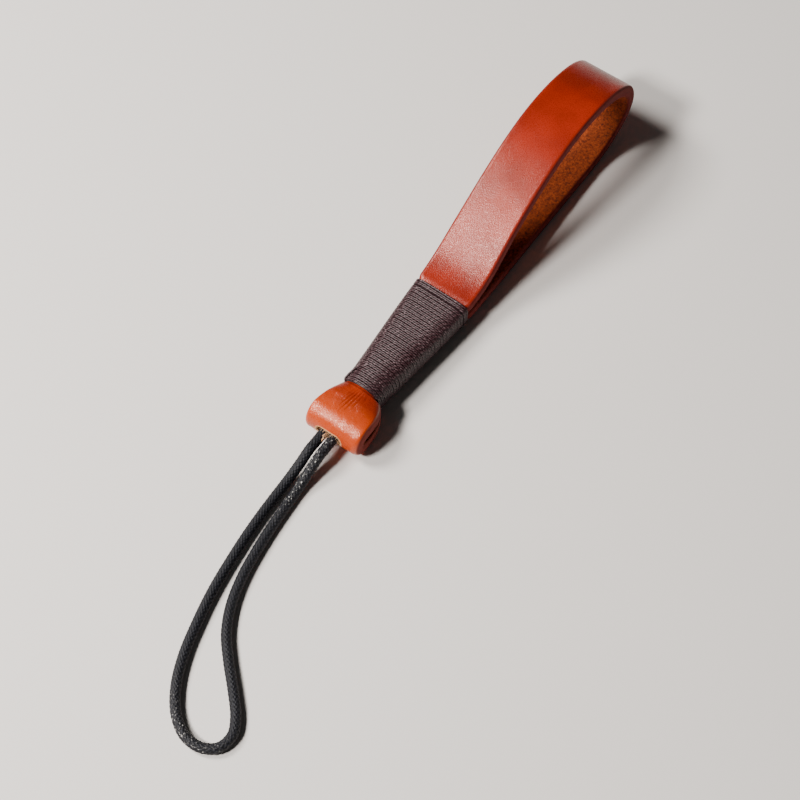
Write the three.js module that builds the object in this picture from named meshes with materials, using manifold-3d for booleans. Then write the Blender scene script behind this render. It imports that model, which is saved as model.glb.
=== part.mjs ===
// Leather wrist strap for keys: a looped strap, a thread binding, a folded leather end and a cord loop.
// Units are millimetres, +Z is up, +X runs from the cord towards the wrist loop and the part rests on z = 0.
import * as THREE from 'three'
import { mergeVertices } from 'three/addons/utils/BufferGeometryUtils.js'
import Module from 'manifold-3d'

const wasm = await Module()
wasm.setup()

// driving dimensions
const strapWidth = 18
const strapThickness = 4
const cordDiameter = 3.2
const threadDiameter = 0.66
const fitGap = 0.3

// stations along the part
const loopTipX = 74.5
const throatX = -17
const bindingEndX = -58.5
const foldApexX = -74.5

// wrist loop, as seen from the side
const crestX = 43
const crestHeight = 31.7
const tipHeight = 14.5
const flatStartX = 10
const flatEndX = 50

// thread binding: flat and strap-wide at the throat, narrow and nearly round where the cord ends lie inside
const throatHalfWidth = strapWidth / 2 + threadDiameter
const throatHalfHeight = strapThickness + fitGap / 2 + threadDiameter
const throatSquareness = 6
const bindingEndHalfWidth = 6.6
const bindingEndHalfHeight = 6.3
const bindingEndSquareness = 2.3
const turnsPerRidge = 2
const bindingSides = 28
const throatLift = 0.8

// folded end
const foldInnerRadius = 2
const foldNeckWidth = 12.6
const foldCornerRadius = 2
const slotWidth = 9
const slotHeight = 3.9

// cord
const legSpacing = 3.5
const boundLength = 16
const neckLength = 4.5
const neckRootRadius = 3.8
const tubeSides = 8
const routeSteps = 54
const cordRestHeight = cordDiameter / 2 + 0.02

const throatZ = throatHalfHeight + throatLift
const bindingEndZ = bindingEndHalfHeight
const foldOuterRadius = foldInnerRadius + strapThickness
const foldZ = foldOuterRadius + 0.1

const leather = new THREE.MeshStandardMaterial({ color: '#a5422a', roughness: 0.45, metalness: 0 })
const foldedLeather = new THREE.MeshStandardMaterial({ color: '#b4522b', roughness: 0.5, metalness: 0 })
const waxedThread = new THREE.MeshStandardMaterial({ color: '#3a2226', roughness: 0.55, metalness: 0 })
const waxedCord = new THREE.MeshStandardMaterial({ color: '#22242a', roughness: 0.6, metalness: 0 })

const mix = (from, to, share) => from + (to - from) * share
const smooth = (share) => share * share * (3 - 2 * share)
const rounded = (value) => Math.round(value * 1e6) / 1e6

function toSolid(geometry) {
  const bare = geometry.index ? geometry.toNonIndexed() : geometry
  bare.deleteAttribute('normal')
  bare.deleteAttribute('uv')
  const merged = mergeVertices(bare, 1e-4)
  const vertProperties = new Float32Array(merged.attributes.position.array)
  const triVerts = new Uint32Array(merged.index.array)
  return new wasm.Manifold(new wasm.Mesh({ numProp: 3, vertProperties, triVerts }))
}

function toGeometry(solid) {
  const { vertProperties, triVerts } = solid.getMesh()
  const geometry = new THREE.BufferGeometry()
  geometry.setAttribute('position', new THREE.BufferAttribute(new Float32Array(vertProperties), 3))
  geometry.setIndex(new THREE.BufferAttribute(new Uint32Array(triVerts), 1))
  const flat = geometry.toNonIndexed()
  flat.computeVertexNormals()
  return flat
}

function named(name, geometry, material) {
  const mesh = new THREE.Mesh(geometry, material)
  mesh.name = name
  return mesh
}

// an outline drawn in the XZ plane, given its width along Y
function sideExtrusion(shape, width) {
  const geometry = new THREE.ExtrudeGeometry(shape, { depth: width, bevelEnabled: false, curveSegments: 12 })
  geometry.rotateX(Math.PI / 2)
  geometry.translate(0, width / 2, 0)
  return geometry
}

// an outline drawn in the XY plane, given its height along Z
function planExtrusion(shape, bottom, height) {
  const geometry = new THREE.ExtrudeGeometry(shape, { depth: height, bevelEnabled: false, curveSegments: 6 })
  geometry.translate(0, 0, bottom)
  return geometry
}

// ---- wrist loop -------------------------------------------------------------------------------

const hingeX = throatX + fitGap + strapThickness + fitGap / 2
const layerOffset = (strapThickness + fitGap) / 2
const creviceLength = 2

function loopCentreLine() {
  const upperThroat = new THREE.Vector2(hingeX, throatZ + layerOffset)
  const knee = new THREE.Vector2(hingeX + 5.3, throatZ + layerOffset + 2.2)
  const crest = new THREE.Vector2(crestX, crestHeight)
  const tip = new THREE.Vector2(loopTipX - strapThickness / 2, tipHeight)
  const flatEnd = new THREE.Vector2(flatEndX, strapThickness / 2)
  const flatStart = new THREE.Vector2(flatStartX, strapThickness / 2)
  const lowerThroat = new THREE.Vector2(hingeX, throatZ - layerOffset)
  const spans = [
    [upperThroat, [2.5, 0], [-2, -1.3], knee, 3],
    [knee, [11, 7.15], [-18.5, 0], crest, 14],
    [crest, [15, 0], [0, 10.5], tip, 12],
    [tip, [0, -8], [11, 0], flatEnd, 12],
    [flatEnd, [-12, 0], [12, 0], flatStart, 3],
    [flatStart, [-8, 0], [8, 0], lowerThroat, 4],
  ]
  const samples = []
  for (const [start, leave, arrive, end, count] of spans) {
    const startHandle = start.clone().add(new THREE.Vector2(...leave))
    const endHandle = end.clone().add(new THREE.Vector2(...arrive))
    const span = new THREE.CubicBezierCurve(start, startHandle, endHandle, end)
    for (let i = samples.length ? 1 : 0; i <= count; i++) {
      const tangent = span.getTangent(i / count)
      samples.push({ at: span.getPoint(i / count), outward: new THREE.Vector2(-tangent.y, tangent.x) })
    }
  }
  return samples
}

function wristStrap() {
  const centreLine = loopCentreLine()
  const offsetBy = (distance) => centreLine.map(({ at, outward }) => at.clone().addScaledVector(outward, distance))
  const outer = offsetBy(strapThickness / 2)
  const inner = offsetBy(-strapThickness / 2)
  const noseRadius = (outer[0].y - outer[outer.length - 1].y) / 2
  const nose = []
  const noseSteps = 10
  for (let i = 1; i < noseSteps; i++) {
    const angle = -Math.PI / 2 - Math.PI * i / noseSteps
    nose.push(new THREE.Vector2(hingeX + noseRadius * Math.cos(angle), throatZ + noseRadius * Math.sin(angle)))
  }
  const shape = new THREE.Shape([...outer, ...nose])
  const open = inner.filter((point) => point.x > hingeX + creviceLength)
  shape.holes.push(new THREE.Path(open.reverse()))
  return sideExtrusion(shape, strapWidth)
}

// ---- thread binding ---------------------------------------------------------------------------

const bindingLength = throatX - bindingEndX

// half width, half height, squareness and centre height of the binding, from the throat (0) to its end (1)
function bindingSection(share) {
  const eased = smooth(Math.min(1, Math.max(0, share)))
  return {
    halfWidth: mix(throatHalfWidth, bindingEndHalfWidth, mix(share, eased, 0.5)),
    halfHeight: mix(throatHalfHeight, bindingEndHalfHeight, eased),
    squareness: mix(throatSquareness, bindingEndSquareness, Math.sqrt(Math.max(0, share))),
    centreZ: mix(throatZ, bindingEndZ, eased),
  }
}

// a closed solid that follows the binding's section at a constant inset
function bindingCore(inset, endMargin, rings, ridge = () => 0) {
  const length = bindingLength - 2 * endMargin
  const geometry = new THREE.CylinderGeometry(1, 1, length, bindingSides, rings, false)
  const position = geometry.attributes.position
  for (let i = 0; i < position.count; i++) {
    const along = position.getY(i) / length + 0.5
    const x = throatX - endMargin - length * (1 - along)
    const share = (throatX - x) / bindingLength
    const { halfWidth, halfHeight, squareness, centreZ } = bindingSection(share)
    const cosine = rounded(position.getZ(i))
    const sine = rounded(position.getX(i))
    const power = 2 / squareness
    const grow = ridge(1 - along) - inset
    const y = Math.sign(cosine) * Math.abs(cosine) ** power * (halfWidth + grow)
    const z = Math.sign(sine) * Math.abs(sine) ** power * (halfHeight + grow)
    position.setXYZ(i, x, y, centreZ + z)
  }
  return toSolid(geometry)
}

function bindingThread() {
  const turns = Math.round(bindingLength / threadDiameter)
  const ridges = Math.round(turns / turnsPerRidge)
  const ridgeDepth = threadDiameter * 0.25
  const ridge = (share) => (Math.round(share * ridges * 2) % 2 ? 0 : -ridgeDepth)
  const outside = bindingCore(0, 0, ridges * 2, ridge)
  const inside = bindingCore(threadDiameter, -1, 24)
  return toGeometry(outside.subtract(inside))
}

// ---- cord -------------------------------------------------------------------------------------

const boundEndX = bindingEndX + boundLength
const swayX = foldApexX
const liftX = swayX - neckLength

function tube(points, diameter, steps) {
  const section = new THREE.Shape()
  for (let i = 0; i < tubeSides; i++) {
    const angle = (i + 0.5) / tubeSides * Math.PI * 2
    const corner = [diameter / 2 * Math.cos(angle), diameter / 2 * Math.sin(angle)]
    if (i) section.lineTo(...corner)
    else section.moveTo(...corner)
  }
  section.closePath()
  const route = points.length > 2 ? new THREE.CatmullRomCurve3(points) : new THREE.LineCurve3(...points)
  return new THREE.ExtrudeGeometry(section, { steps, bevelEnabled: false, extrudePath: route })
}

function cordStretch(side, fromX, toX, diameter = cordDiameter) {
  const y = side * legSpacing / 2
  return tube([new THREE.Vector3(fromX, y, foldZ), new THREE.Vector3(toX, y, foldZ)], diameter, 1)
}

// the space of both necks: round about the upright sway axis at the root, so that they can turn in the slot
function neckSpace(grow) {
  const plan = new THREE.Shape()
  plan.absarc(swayX, 0, neckRootRadius + grow, -Math.PI / 2, Math.PI / 2, false)
  plan.lineTo(liftX, neckRootRadius + grow)
  plan.lineTo(liftX, -neckRootRadius - grow)
  plan.closePath()
  return toSolid(planExtrusion(plan, foldZ - cordDiameter, 2 * cordDiameter))
}

function cordEnd(side) {
  return toGeometry(toSolid(cordStretch(side, boundEndX, swayX)).subtract(neckSpace(fitGap)))
}

// stops short of the lift axis, so that the raised loop clears it
function cordNeck(side) {
  const stretch = cordStretch(side, swayX + neckRootRadius, liftX + cordDiameter / 2)
  return toGeometry(toSolid(stretch).intersect(neckSpace(0)))
}

// ---- strap runs under the binding ---------------------------------------------------------------

function strapRun(side) {
  const core = bindingCore(threadDiameter + fitGap, fitGap, 24)
  const parting = new THREE.Shape()
  const halfGap = side * fitGap / 2
  const far = side * 20
  parting.moveTo(throatX, throatZ + halfGap)
  parting.lineTo(throatX, throatZ + far)
  parting.lineTo(bindingEndX, foldZ + far)
  parting.lineTo(bindingEndX, foldZ + halfGap)
  parting.closePath()
  const half = toSolid(sideExtrusion(parting, strapWidth + 4))
  const tunnel = (leg) => toSolid(cordStretch(leg, boundEndX + fitGap, bindingEndX - 5, cordDiameter + 2 * fitGap))
  return toGeometry(core.intersect(half).subtract(tunnel(1)).subtract(tunnel(-1)))
}

// ---- folded end ---------------------------------------------------------------------------------

function endFold() {
  const neckX = bindingEndX - fitGap
  const arcX = foldApexX + foldOuterRadius
  const side = new THREE.Shape()
  side.moveTo(neckX, foldZ - foldOuterRadius)
  side.lineTo(neckX, foldZ - foldInnerRadius)
  side.lineTo(arcX, foldZ - foldInnerRadius)
  side.absarc(arcX, foldZ, foldInnerRadius, -Math.PI / 2, Math.PI / 2, true)
  side.lineTo(neckX, foldZ + foldInnerRadius)
  side.lineTo(neckX, foldZ + foldOuterRadius)
  side.lineTo(arcX, foldZ + foldOuterRadius)
  side.absarc(arcX, foldZ, foldOuterRadius, Math.PI / 2, -Math.PI / 2, false)
  side.closePath()

  const plan = new THREE.Shape()
  const half = strapWidth / 2
  const flare = (neckX - foldApexX) / 2
  plan.moveTo(neckX, foldNeckWidth / 2)
  plan.quadraticCurveTo(neckX - flare, half - 0.9, foldApexX + foldCornerRadius, half)
  plan.quadraticCurveTo(foldApexX, half, foldApexX - 0.01, half - foldCornerRadius)
  plan.lineTo(foldApexX - 0.01, foldCornerRadius - half)
  plan.quadraticCurveTo(foldApexX, -half, foldApexX + foldCornerRadius, -half)
  plan.quadraticCurveTo(neckX - flare, 0.9 - half, neckX, -foldNeckWidth / 2)
  plan.closePath()

  const slot = new THREE.Shape()
  const straight = (slotWidth - slotHeight) / 2
  slot.absarc(straight, 0, slotHeight / 2, -Math.PI / 2, Math.PI / 2, false)
  slot.absarc(-straight, 0, slotHeight / 2, Math.PI / 2, -Math.PI / 2, false)
  slot.closePath()
  const slotCut = new THREE.ExtrudeGeometry(slot, { depth: strapThickness + 3, bevelEnabled: false, curveSegments: 6 })
  slotCut.rotateX(Math.PI / 2)
  slotCut.rotateZ(Math.PI / 2)
  slotCut.translate(foldApexX - 1, 0, foldZ)

  const blank = toSolid(sideExtrusion(side, strapWidth + 2))
  const outline = toSolid(planExtrusion(plan, foldZ - 10, 20))
  return toGeometry(blank.intersect(outline).subtract(toSolid(slotCut)))
}

// ---- free cord ----------------------------------------------------------------------------------

const freeRoute = [
  [liftX, legSpacing / 2, foldZ],
  [-80.8, 1.8, 6.0],
  [-85.0, 1.9, 4.3],
  [-91, 2.2, 2.1],
  [-100, 2.0, cordRestHeight],
  [-110, 1.3, cordRestHeight],
  [-120, 0.1, cordRestHeight],
  [-130, -1.5, cordRestHeight],
  [-140, -3.9, cordRestHeight],
  [-150, -7.0, cordRestHeight],
  [-158, -10.9, cordRestHeight],
  [-164, -15.8, cordRestHeight],
  [-167.4, -21.6, cordRestHeight],
  [-167.4, -27.2, cordRestHeight],
  [-164.6, -31.0, cordRestHeight],
  [-160.0, -31.8, cordRestHeight],
  [-155.4, -29.4, cordRestHeight],
  [-149.8, -24.1, cordRestHeight],
  [-144, -18.0, cordRestHeight],
  [-138, -12.5, cordRestHeight],
  [-131, -8.5, cordRestHeight],
  [-123, -5.8, cordRestHeight],
  [-113, -3.9, cordRestHeight],
  [-102, -2.6, cordRestHeight],
  [-91, -1.8, 2.1],
  [-85.0, -1.7, 4.3],
  [-80.8, -1.75, 6.0],
  [liftX, -legSpacing / 2, foldZ],
].map((point) => new THREE.Vector3(...point))

// both ends of the loop are domed about the lift axis
function cordLoop() {
  const domeRadius = cordDiameter / 2 - 0.2
  const domeInset = 0.1
  let loop = toSolid(tube(freeRoute, cordDiameter, routeSteps))
  for (const side of [1, -1]) {
    const dome = new THREE.SphereGeometry(domeRadius, tubeSides, 6)
    dome.rotateZ(Math.PI / 2)
    dome.translate(liftX - domeInset, side * legSpacing / 2, foldZ)
    loop = loop.add(toSolid(dome))
  }
  return toGeometry(loop)
}

const keyStrap = new THREE.Group()
keyStrap.add(
  named('wrist_strap', wristStrap(), leather),
  named('upper_strap_run', strapRun(1), leather),
  named('lower_strap_run', strapRun(-1), leather),
  named('binding_thread', bindingThread(), waxedThread),
  named('end_fold', endFold(), foldedLeather),
  named('left_cord_end', cordEnd(1), waxedCord),
  named('right_cord_end', cordEnd(-1), waxedCord),
  named('left_cord_neck', cordNeck(1), waxedCord),
  named('right_cord_neck', cordNeck(-1), waxedCord),
  named('cord_loop', cordLoop(), waxedCord),
)

export default keyStrap
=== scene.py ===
import math
import random

import bpy
import numpy as np
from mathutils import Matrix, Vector, noise


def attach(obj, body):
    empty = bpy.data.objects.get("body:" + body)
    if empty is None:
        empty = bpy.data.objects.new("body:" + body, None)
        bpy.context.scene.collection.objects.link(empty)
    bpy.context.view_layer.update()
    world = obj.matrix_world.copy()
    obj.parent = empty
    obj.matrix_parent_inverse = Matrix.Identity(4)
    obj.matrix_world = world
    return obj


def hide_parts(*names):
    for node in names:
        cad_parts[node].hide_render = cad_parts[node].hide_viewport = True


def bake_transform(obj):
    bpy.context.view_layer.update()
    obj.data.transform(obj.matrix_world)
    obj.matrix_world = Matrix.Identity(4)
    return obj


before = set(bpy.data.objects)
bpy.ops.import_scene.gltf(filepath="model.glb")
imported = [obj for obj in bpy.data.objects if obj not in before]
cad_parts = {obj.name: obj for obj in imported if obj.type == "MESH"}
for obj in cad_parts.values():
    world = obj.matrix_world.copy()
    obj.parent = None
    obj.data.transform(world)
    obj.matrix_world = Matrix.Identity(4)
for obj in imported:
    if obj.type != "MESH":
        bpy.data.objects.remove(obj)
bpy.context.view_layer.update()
print("frame loaded")

mm = 0.001
random.seed(7)


# camera: the strap seen from above its cord end, with the wrist loop pointing away to the upper right
cameraView = {
    "place": (-0.2684, -0.1648, 0.4852),
    "lookAt": (-0.04996, -0.00789, 0.0),
    "lens": 84.87,
    "sensor": 36.0,
}

cameraData = bpy.data.cameras.new("camera")
cameraData.lens = cameraView["lens"]
cameraData.sensor_width = cameraView["sensor"]
cameraData.clip_start = 0.01
camera = bpy.data.objects.new("camera", cameraData)
camera.location = cameraView["place"]
lookDirection = Vector(cameraView["lookAt"]) - camera.location
camera.rotation_euler = lookDirection.to_track_quat("-Z", "Y").to_euler()
bpy.context.scene.collection.objects.link(camera)
bpy.context.scene.camera = camera


# shared shaping tools, all in millimetres until the mesh is made

def mix(start, end, share):
    return start + (end - start) * share


def smooth(share):
    share = np.clip(share, 0.0, 1.0)
    return share * share * (3 - 2 * share)


def wave(x, y, z, size):
    return noise.noise(Vector((x / size, y / size, z / size)))


def makeObject(name, points, faces, fields=None, material=None):
    mesh = bpy.data.meshes.new(name)
    mesh.from_pydata((np.asarray(points) * mm).tolist(), [], faces)
    for field, values in (fields or {}).items():
        values = np.asarray(values, dtype=np.float32)
        isVector = values.ndim == 2
        layer = mesh.attributes.new(field, "FLOAT_VECTOR" if isVector else "FLOAT", "POINT")
        layer.data.foreach_set("vector" if isVector else "value", values.ravel())
    if material:
        mesh.materials.append(material)
    mesh.validate()
    mesh.shade_smooth()
    made = bpy.data.objects.new(name, mesh)
    bpy.context.scene.collection.objects.link(made)
    return made


# quads between rings of points; both ends are closed unless the last ring joins the first
def ringFaces(ringCount, pointCount, first=0, joined=False):
    spans = ringCount if joined else ringCount - 1
    ring, point = np.meshgrid(np.arange(spans), np.arange(pointCount), indexing="ij")
    nextRing = (ring + 1) % ringCount
    nextPoint = (point + 1) % pointCount
    corners = [ring * pointCount + point, ring * pointCount + nextPoint,
               nextRing * pointCount + nextPoint, nextRing * pointCount + point]
    faces = (np.stack(corners, axis=-1).reshape(-1, 4) + first).tolist()
    if not joined:
        faces.append([first + i for i in reversed(range(pointCount))])
        last = first + (ringCount - 1) * pointCount
        faces.append([last + i for i in range(pointCount)])
    return faces


# evenly spaced points along a line of points
def evenly(line, spacing):
    line = np.asarray(line, dtype=float)
    steps = np.linalg.norm(np.diff(line, axis=0), axis=1)
    along = np.concatenate([[0], np.cumsum(steps)])
    count = max(2, round(along[-1] / spacing))
    wanted = np.linspace(0, along[-1], count + 1)
    spaced = [np.interp(wanted, along, line[:, i]) for i in range(line.shape[1])]
    return np.stack(spaced, axis=1), wanted


# a smooth curve through points, without loops or overshoot where they are unevenly spaced
def throughPoints(points, perSpan=24):
    points = np.asarray(points, dtype=float)
    ends = [2 * points[0] - points[1], *points, 2 * points[-1] - points[-2]]
    line = []
    for before, start, end, after in zip(ends, ends[1:], ends[2:], ends[3:]):
        legs = ((before, start), (start, end), (end, after))
        knots = np.cumsum([0] + [np.linalg.norm(b - a) ** 0.5 for a, b in legs])
        for share in np.linspace(0, 1, perSpan, endpoint=False):
            t = mix(knots[1], knots[2], share)
            first = [mix(a, b, (t - knots[i]) / (knots[i + 1] - knots[i])) for i, (a, b) in enumerate(legs)]
            second = [mix(first[i], first[i + 1], (t - knots[i]) / (knots[i + 2] - knots[i]))
                      for i in range(2)]
            line.append(mix(second[0], second[1], (t - knots[1]) / (knots[2] - knots[1])))
    line.append(points[-1])
    return np.array(line)


# directions across a line that don't twist along it
def acrossLine(line, firstAcross):
    along = np.gradient(line, axis=0)
    along /= np.linalg.norm(along, axis=1, keepdims=True)
    across = np.zeros_like(line)
    held = np.asarray(firstAcross, dtype=float)
    for i, direction in enumerate(along):
        held = held - direction * np.dot(held, direction)
        held = held / np.linalg.norm(held)
        across[i] = held
    return along, across, np.cross(along, across)


# materials

def toLinear(hexColour):
    channels = [int(hexColour[i:i + 2], 16) / 255 for i in (1, 3, 5)]
    return [c / 12.92 if c <= 0.04045 else ((c + 0.055) / 1.055) ** 2.4 for c in channels] + [1.0]


def addNode(tree, kind, settings=None, links=None):
    node = tree.nodes.new(kind)
    for name, value in (settings or {}).items():
        if isinstance(name, int) or name in node.inputs:
            node.inputs[name].default_value = value
        else:
            setattr(node, name, value)
    for name, source in (links or {}).items():
        tree.links.new(source, node.inputs[name])
    return node


def newMaterial(name, settings):
    material = bpy.data.materials.new(name)
    material.use_nodes = True
    tree = material.node_tree
    tree.nodes.clear()
    shader = addNode(tree, "ShaderNodeBsdfPrincipled", settings)
    addNode(tree, "ShaderNodeOutputMaterial", {}, {"Surface": shader.outputs["BSDF"]})
    return material, tree, shader


# Vegetable-tanned leather, dyed red-brown, waxed and burnished: a close grain with a broad soft shine that the
# wax tints pink, dark dull cut edges and a fibrous tan flesh side. Sizes are in millimetres.
def waxedLeather(name, look):
    material, tree, shader = newMaterial(name, {
        "IOR": 1.5, "Specular IOR Level": look["specular"], "Specular Tint": toLinear(look["waxTint"])})
    at = addNode(tree, "ShaderNodeAttribute", {"attribute_name": "stripAt"}).outputs["Vector"]
    edge = addNode(tree, "ShaderNodeAttribute", {"attribute_name": "cutEdge"}).outputs["Fac"]
    flesh = addNode(tree, "ShaderNodeAttribute", {"attribute_name": "fleshSide"}).outputs["Fac"]
    raw = addNode(tree, "ShaderNodeAttribute", {"attribute_name": "rawCut"}).outputs["Fac"]
    # uneven take-up of the dye over about a centimetre
    cloud = addNode(tree, "ShaderNodeTexNoise", {"Scale": 1 / look["cloudSize"], "Detail": 3.0}, {"Vector": at})
    cloudShare = addNode(tree, "ShaderNodeMapRange", {"From Min": 0.35, "From Max": 0.65},
                         {"Value": cloud.outputs["Fac"]})
    dyed = addNode(tree, "ShaderNodeMix",
                   {"data_type": "RGBA", 6: toLinear(look["grain"]), 7: toLinear(look["grainDeep"])},
                   {0: cloudShare.outputs["Result"]})
    # pores and the small cells of the grain
    cells = addNode(tree, "ShaderNodeTexVoronoi",
                    {"feature": "DISTANCE_TO_EDGE", "Scale": 1 / look["grainSize"]}, {"Vector": at})
    cellTop = addNode(tree, "ShaderNodeMapRange", {"From Max": 0.22}, {"Value": cells.outputs["Distance"]})
    fine = addNode(tree, "ShaderNodeTexNoise",
                   {"Scale": 1.6 / look["grainSize"], "Detail": 4.0, "Roughness": 0.6}, {"Vector": at})
    mottle = addNode(tree, "ShaderNodeMapRange",
                     {"From Min": 0.3, "From Max": 0.7, "To Min": 0.82, "To Max": 1.1}, {"Value": fine.outputs["Fac"]})
    grain = addNode(tree, "ShaderNodeMix", {"data_type": "RGBA", "blend_type": "MULTIPLY", 0: 1.0},
                    {6: dyed.outputs[2], 7: mottle.outputs["Result"]})
    # the flesh side: loose fibres, lighter where they stand up
    fibres = addNode(tree, "ShaderNodeTexNoise",
                     {"Scale": 1 / look["fibreSize"], "Detail": 6.0, "Roughness": 0.75, "Distortion": 0.6},
                     {"Vector": at})
    fibreShare = addNode(tree, "ShaderNodeMapRange", {"From Min": 0.36, "From Max": 0.66},
                         {"Value": fibres.outputs["Fac"]})
    suede = addNode(tree, "ShaderNodeMix",
                    {"data_type": "RGBA", 6: toLinear(look["fleshDeep"]), 7: toLinear(look["flesh"])},
                    {0: fibreShare.outputs["Result"]})
    # the wax lightens where the leather is pulled round a tight bend, as the fold is
    pulledShare = addNode(tree, "ShaderNodeAttribute", {"attribute_name": "pulledRound"}).outputs["Fac"]
    pulledColour = toLinear(look.get("pulled", look["grain"]))
    pulled = addNode(tree, "ShaderNodeMix", {"data_type": "RGBA", 7: pulledColour},
                     {0: pulledShare, 6: grain.outputs[2]})
    faces = addNode(tree, "ShaderNodeMix", {"data_type": "RGBA"},
                    {0: flesh, 6: pulled.outputs[2], 7: suede.outputs[2]})
    # the cut edge shows streaks of the leather's layers
    streaks = addNode(tree, "ShaderNodeMapping", {"Scale": (0.25, 1.0, 2.2)}, {"Vector": at})
    layers = addNode(tree, "ShaderNodeTexNoise", {"Scale": 1.4, "Detail": 3.0}, {"Vector": streaks.outputs["Vector"]})
    burnished = addNode(tree, "ShaderNodeMix",
                        {"data_type": "RGBA", 6: toLinear(look["edgeDeep"]), 7: toLinear(look["edge"])},
                        {0: layers.outputs["Fac"]})
    edged = addNode(tree, "ShaderNodeMix", {"data_type": "RGBA"},
                    {0: edge, 6: faces.outputs[2], 7: burnished.outputs[2]})
    cut = addNode(tree, "ShaderNodeMix", {"data_type": "RGBA", 7: toLinear(look["raw"])},
                  {0: raw, 6: edged.outputs[2]})
    tree.links.new(cut.outputs[2], shader.inputs["Base Color"])
    # waxed grain shines, the cut edge and the flesh side don't
    shine = addNode(tree, "ShaderNodeMapRange",
                    {"From Min": 0.3, "From Max": 0.7,
                     "To Min": look["roughness"] - 0.05, "To Max": look["roughness"] + 0.07},
                    {"Value": fine.outputs["Fac"]})
    dull = addNode(tree, "ShaderNodeMath", {"operation": "MAXIMUM"}, {0: flesh, 1: raw})
    edgeShine = addNode(tree, "ShaderNodeMix", {"data_type": "FLOAT", 3: look["dullRoughness"]},
                        {0: edge, 2: shine.outputs["Result"]})
    roughness = addNode(tree, "ShaderNodeMix", {"data_type": "FLOAT", 3: look["dullRoughness"]},
                        {0: dull.outputs[0], 2: edgeShine.outputs[0]})
    tree.links.new(roughness.outputs[0], shader.inputs["Roughness"])
    # relief, as heights in millimetres
    grainRelief = addNode(tree, "ShaderNodeMath", {"operation": "MULTIPLY_ADD", 1: 0.7},
                          {0: fine.outputs["Fac"], 2: cellTop.outputs["Result"]})
    relief = addNode(tree, "ShaderNodeMix", {"data_type": "FLOAT"},
                     {0: dull.outputs[0], 2: grainRelief.outputs[0], 3: fibres.outputs["Fac"]})
    depth = addNode(tree, "ShaderNodeMix",
                    {"data_type": "FLOAT", 2: look["grainDepth"], 3: look["fibreDepth"]}, {0: dull.outputs[0]})
    height = addNode(tree, "ShaderNodeMath", {"operation": "MULTIPLY"}, {0: relief.outputs[0], 1: depth.outputs[0]})
    bump = addNode(tree, "ShaderNodeBump", {"Strength": 1.0, "Distance": mm}, {"Height": height.outputs[0]})
    tree.links.new(bump.outputs["Normal"], shader.inputs["Normal"])
    return material


strapLeather = waxedLeather("waxed_strap_leather", {
    "grain": "#98250f", "grainDeep": "#7d1c0c", "edge": "#7a130b", "edgeDeep": "#470a06",
    "flesh": "#a84a17", "fleshDeep": "#400d04", "raw": "#d9a774",
    "cloudSize": 14.0, "grainSize": 0.55, "fibreSize": 0.75,
    "grainDepth": 0.018, "fibreDepth": 0.16,
    "roughness": 0.28, "dullRoughness": 0.9, "specular": 0.55, "waxTint": "#ffcfc6",
})
foldLeather = waxedLeather("waxed_fold_leather", {
    "grain": "#9d2e0e", "grainDeep": "#7d200a", "pulled": "#c2450f", "edge": "#82160a", "edgeDeep": "#4a0b06",
    "flesh": "#b8631d", "fleshDeep": "#521406", "raw": "#dba774",
    "cloudSize": 7.0, "grainSize": 0.5, "fibreSize": 0.45,
    "grainDepth": 0.022, "fibreDepth": 0.14,
    "roughness": 0.28, "dullRoughness": 0.9, "specular": 0.7, "waxTint": "#ffd2bd",
})


# Waxed polyester thread in two twisted plies: dark aubergine, with painted shade in the grooves between the plies and
# a painted greyish highlight in spots on the crown of each ply
# the darkest colour here is painted shade for the grooves between the plies, and the palest is a painted highlight for
# the ply crowns
threadLook = {
    "paintedCreviceShade": "#1a0b0e", "crown": "#3c2227", "paintedGlint": "#cdb2b7", "glintSpot": 1.0, "paintedGlintMost": 0.5,
    "roughness": 0.36, "specular": 0.32,
}

threadMaterial, tree, shader = newMaterial("waxed_polyester_thread",
                                           {"IOR": 1.5, "Specular IOR Level": threadLook["specular"]})
at = addNode(tree, "ShaderNodeAttribute", {"attribute_name": "threadAt"}).outputs["Vector"]
crown = addNode(tree, "ShaderNodeAttribute", {"attribute_name": "plyCrown"}).outputs["Fac"]
# painted shade: darker in the grooves between the plies, the thread's own colour on their crowns
plies = addNode(tree, "ShaderNodeMix",
                {"data_type": "RGBA", 6: toLinear(threadLook["paintedCreviceShade"]), 7: toLinear(threadLook["crown"])}, {0: crown})
# painted highlight: pale glint spots on the ply crowns; the same noise also varies the roughness
glintAndRoughnessNoise = addNode(tree, "ShaderNodeTexNoise",
                   {"Scale": 1 / threadLook["glintSpot"], "Detail": 4.0, "Roughness": 0.7}, {"Vector": at})
threadGlintShare = addNode(tree, "ShaderNodeMapRange",
                   {"From Min": 0.53, "From Max": 0.64, "To Max": threadLook["paintedGlintMost"]},
                   {"Value": glintAndRoughnessNoise.outputs["Fac"]})
glintOnCrown = addNode(tree, "ShaderNodeMath", {"operation": "MULTIPLY"}, {0: threadGlintShare.outputs["Result"], 1: crown})
threadColour = addNode(tree, "ShaderNodeMix", {"data_type": "RGBA", 7: toLinear(threadLook["paintedGlint"])},
                       {0: glintOnCrown.outputs[0], 6: plies.outputs[2]})
tree.links.new(threadColour.outputs[2], shader.inputs["Base Color"])
threadRough = addNode(tree, "ShaderNodeMapRange",
                      {"To Min": threadLook["roughness"] - 0.08, "To Max": threadLook["roughness"] + 0.15},
                      {"Value": glintAndRoughnessNoise.outputs["Fac"]})
tree.links.new(threadRough.outputs["Result"], shader.inputs["Roughness"])


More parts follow.
